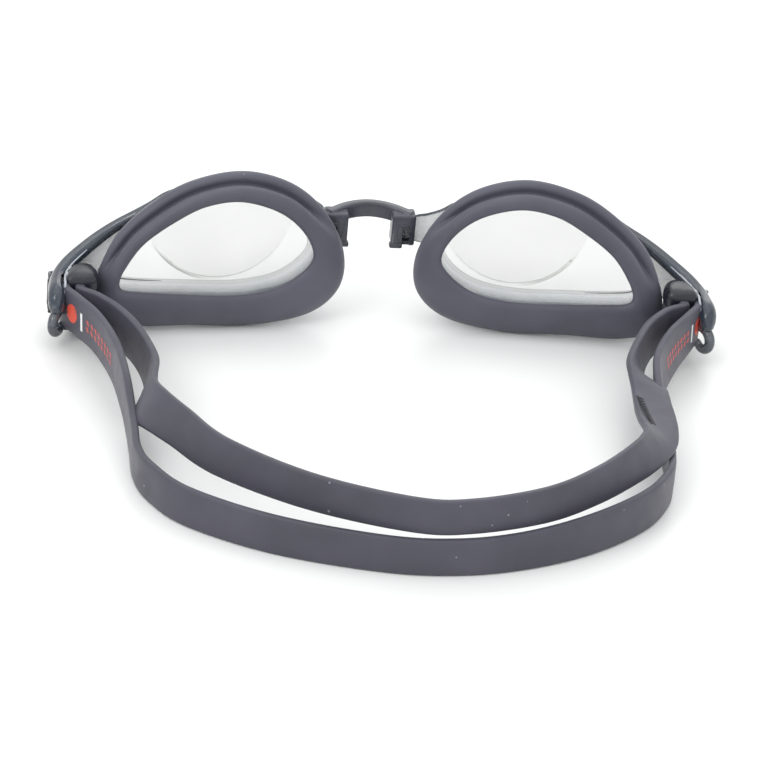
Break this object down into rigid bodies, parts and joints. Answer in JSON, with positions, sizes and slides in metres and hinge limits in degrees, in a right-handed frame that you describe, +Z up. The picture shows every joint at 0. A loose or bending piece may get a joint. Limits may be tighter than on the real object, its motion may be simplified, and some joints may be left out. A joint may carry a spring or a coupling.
{
  "type": "swim goggles",
  "caption": "Swim goggles with clear eye cups, soft face gaskets, a clip-on nose bridge, strap clips with release levers and a strap that splits into bands behind the head.",
  "frame": {"origin": "on the floor plane, under the centre of the whole object's box", "axes": "+X to the wearer's right, +Y forward out through the lenses, +Z up; the strap's loop lies towards -Y"},
  "size_m": [0.1608, 0.1392, 0.0388],
  "materials": {
    "lens_clear": "clear polycarbonate",
    "frame_smoke": "glossy smoke-tinted polycarbonate",
    "gasket_silicone": "matte silicone",
    "strap_silicone": "satin silicone",
    "black_nylon": "glossy moulded nylon",
    "pin_steel": "drawn wire"
  },
  "bodies": {
    "goggles": {"left_lens": "lens_clear", "left_frame": "frame_smoke", "left_gasket": "gasket_silicone", "left_buckle": "black_nylon", "left_strap_bar": "black_nylon", "left_lever_pin": "pin_steel", "left_strap_outer": "strap_silicone", "left_strap_turn": "strap_silicone", "left_strap_inner": "strap_silicone", "left_strap_keeper": "strap_silicone", "right_lens": "lens_clear", "right_frame": "frame_smoke", "right_gasket": "gasket_silicone", "right_buckle": "black_nylon", "right_strap_bar": "black_nylon", "right_lever_pin": "pin_steel", "right_strap_outer": "strap_silicone", "right_strap_turn": "strap_silicone", "right_strap_inner": "strap_silicone", "right_strap_keeper": "strap_silicone", "upper_band": "strap_silicone", "lower_band": "strap_silicone"},
    "bridge": {"nose_bridge": "black_nylon"},
    "left_lever": {"left_release_lever": "black_nylon"},
    "right_lever": {"right_release_lever": "black_nylon"}
  },
  "joints": [
    {"name": "bridge_unclip", "type": "slide", "parent": "goggles", "child": "bridge", "axis": [0, 1, 0], "range_m": [0, 0.004]},
    {"name": "left_lever_hinge", "type": "hinge", "parent": "goggles", "child": "left_lever", "pos_m": [-0.0793, 0.04684, 0.0099], "axis": [0, 0, -1], "range_deg": [0, 14], "stiffness_Nm_per_rad": 0.02},
    {"name": "right_lever_hinge", "type": "hinge", "parent": "goggles", "child": "right_lever", "pos_m": [0.0793, 0.04684, 0.0099], "axis": [0, 0, 1], "range_deg": [0, 14], "stiffness_Nm_per_rad": 0.02}
  ]
}
